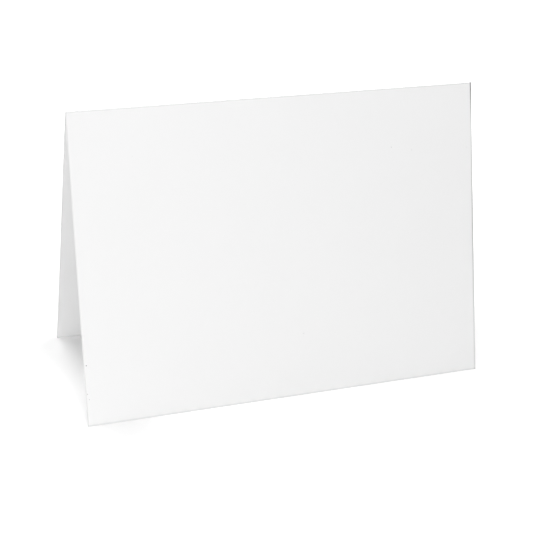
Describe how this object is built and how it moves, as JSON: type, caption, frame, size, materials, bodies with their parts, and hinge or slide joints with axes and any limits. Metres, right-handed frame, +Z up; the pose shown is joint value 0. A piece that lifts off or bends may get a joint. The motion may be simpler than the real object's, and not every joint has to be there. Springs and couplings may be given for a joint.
{
  "type": "greeting card",
  "caption": "Blank white greeting card: a scored sheet of card with its fold on top, standing open like a tent on its cut edges.",
  "frame": {"origin": "on the surface that the card stands on, below the fold, at the middle of its width", "axes": "+X along the fold, to the right as seen from the front; the front panel faces -Y; +Z up"},
  "size_m": [0.1778, 0.073, 0.125],
  "materials": {
    "card_stock": "smooth matte uncoated white card"
  },
  "bodies": {
    "root": {"folded_card": "card_stock"}
  },
  "joints": []
}
